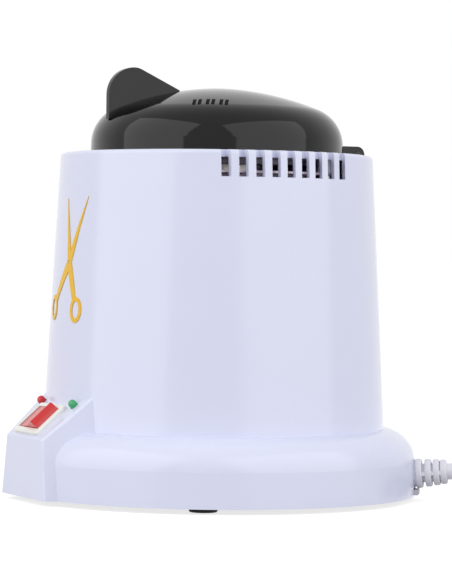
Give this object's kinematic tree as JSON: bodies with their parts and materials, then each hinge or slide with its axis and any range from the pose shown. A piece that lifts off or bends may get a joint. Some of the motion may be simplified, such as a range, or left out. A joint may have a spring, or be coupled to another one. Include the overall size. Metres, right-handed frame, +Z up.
{
  "type": "glass bead sterilizer",
  "caption": "Bench-top bead sterilizer: a tapered round housing with a heated metal well of glass beads, a hinged dome lid with a finger fin, a rocker switch, two lamps and a mains lead.",
  "frame": {"origin": "on the surface it stands on, under the axis of the well", "axes": "+Z up along the well's axis, the switch nose towards -Y, the lid's hinge towards +Y, +X to the right seen from the front"},
  "size_m": [0.1694, 0.2545, 0.1571],
  "materials": {
    "white_plastic": "glossy lavender-white moulded plastic",
    "grey_plastic": "fine satin grey plastic",
    "black_rubber": "matt black rubber",
    "black_plastic": "polished black plastic",
    "black_resin": "satin black heat-resistant resin",
    "well_steel": "drawn stainless steel",
    "heater_steel": "mica band heater in a steel jacket",
    "shield_steel": "plain bright sheet steel",
    "screw_steel": "zinc-plated steel",
    "liner_aluminium": "spun aluminium sheet",
    "bead_glass": "small clear quartz glass beads",
    "ceramic_wool": "soft ceramic wool",
    "white_switch_plastic": "glossy off-white plastic",
    "red_plastic": "glossy red plastic",
    "green_lens": "diffused green lens",
    "red_lens": "diffused red lens",
    "board": "bare circuit board",
    "brass": "tinned brass",
    "white_cord": "soft white vinyl",
    "plug_pins": "nickel-plated brass",
    "wire_white": "white glass-sleeved wire",
    "wire_red": "red silicone wire",
    "wire_black": "black silicone wire",
    "yellow_print": "screen-printed yellow ink"
  },
  "bodies": {
    "housing": {"housing": "white_plastic", "base_plate": "grey_plastic", "foot_right": "black_rubber", "foot_back": "black_rubber", "foot_left": "black_rubber", "base_screws": "screw_steel", "collar": "black_resin", "well": "well_steel", "glass_beads": "bead_glass", "heater_band": "heater_steel", "band_screw": "screw_steel", "band_nut": "screw_steel", "insulation": "ceramic_wool", "heat_shield": "shield_steel", "shield_screws": "screw_steel", "thermostat": "black_resin", "thermal_fuse": "shield_steel", "hinge_pin": "screw_steel", "switch_body": "white_switch_plastic", "switch_terminals": "brass", "lamp_green": "green_lens", "lamp_red": "red_lens", "lamp_board": "board", "strain_relief": "white_cord", "front_print": "yellow_print", "cord_lead": "white_cord", "cord_coil": "white_cord", "cord_tail": "white_cord", "plug": "white_cord", "plug_pins": "plug_pins", "lead_inner": "white_cord", "cord_clamp": "grey_plastic", "clamp_screws": "screw_steel", "terminal_block": "white_switch_plastic", "block_screws": "brass", "wire_supply": "wire_white", "wire_switched": "wire_red", "wire_heater": "wire_white", "wire_return": "wire_black", "wire_fuse": "wire_white"},
    "lid": {"lid": "black_plastic", "lid_liner": "liner_aluminium", "liner_screws": "screw_steel"},
    "rocker": {"rocker": "red_plastic"}
  },
  "joints": [
    {"name": "lid_hinge", "type": "hinge", "parent": "housing", "child": "lid", "pos_m": [0, 0.054, 0.1276], "axis": [-1, 0, 0], "range_deg": [0, 105]},
    {"name": "rocker_pivot", "type": "hinge", "parent": "housing", "child": "rocker", "pos_m": [0, -0.06832, 0.02811], "axis": [0, 0.7547, 0.6561], "range_deg": [0, 26]}
  ]
}
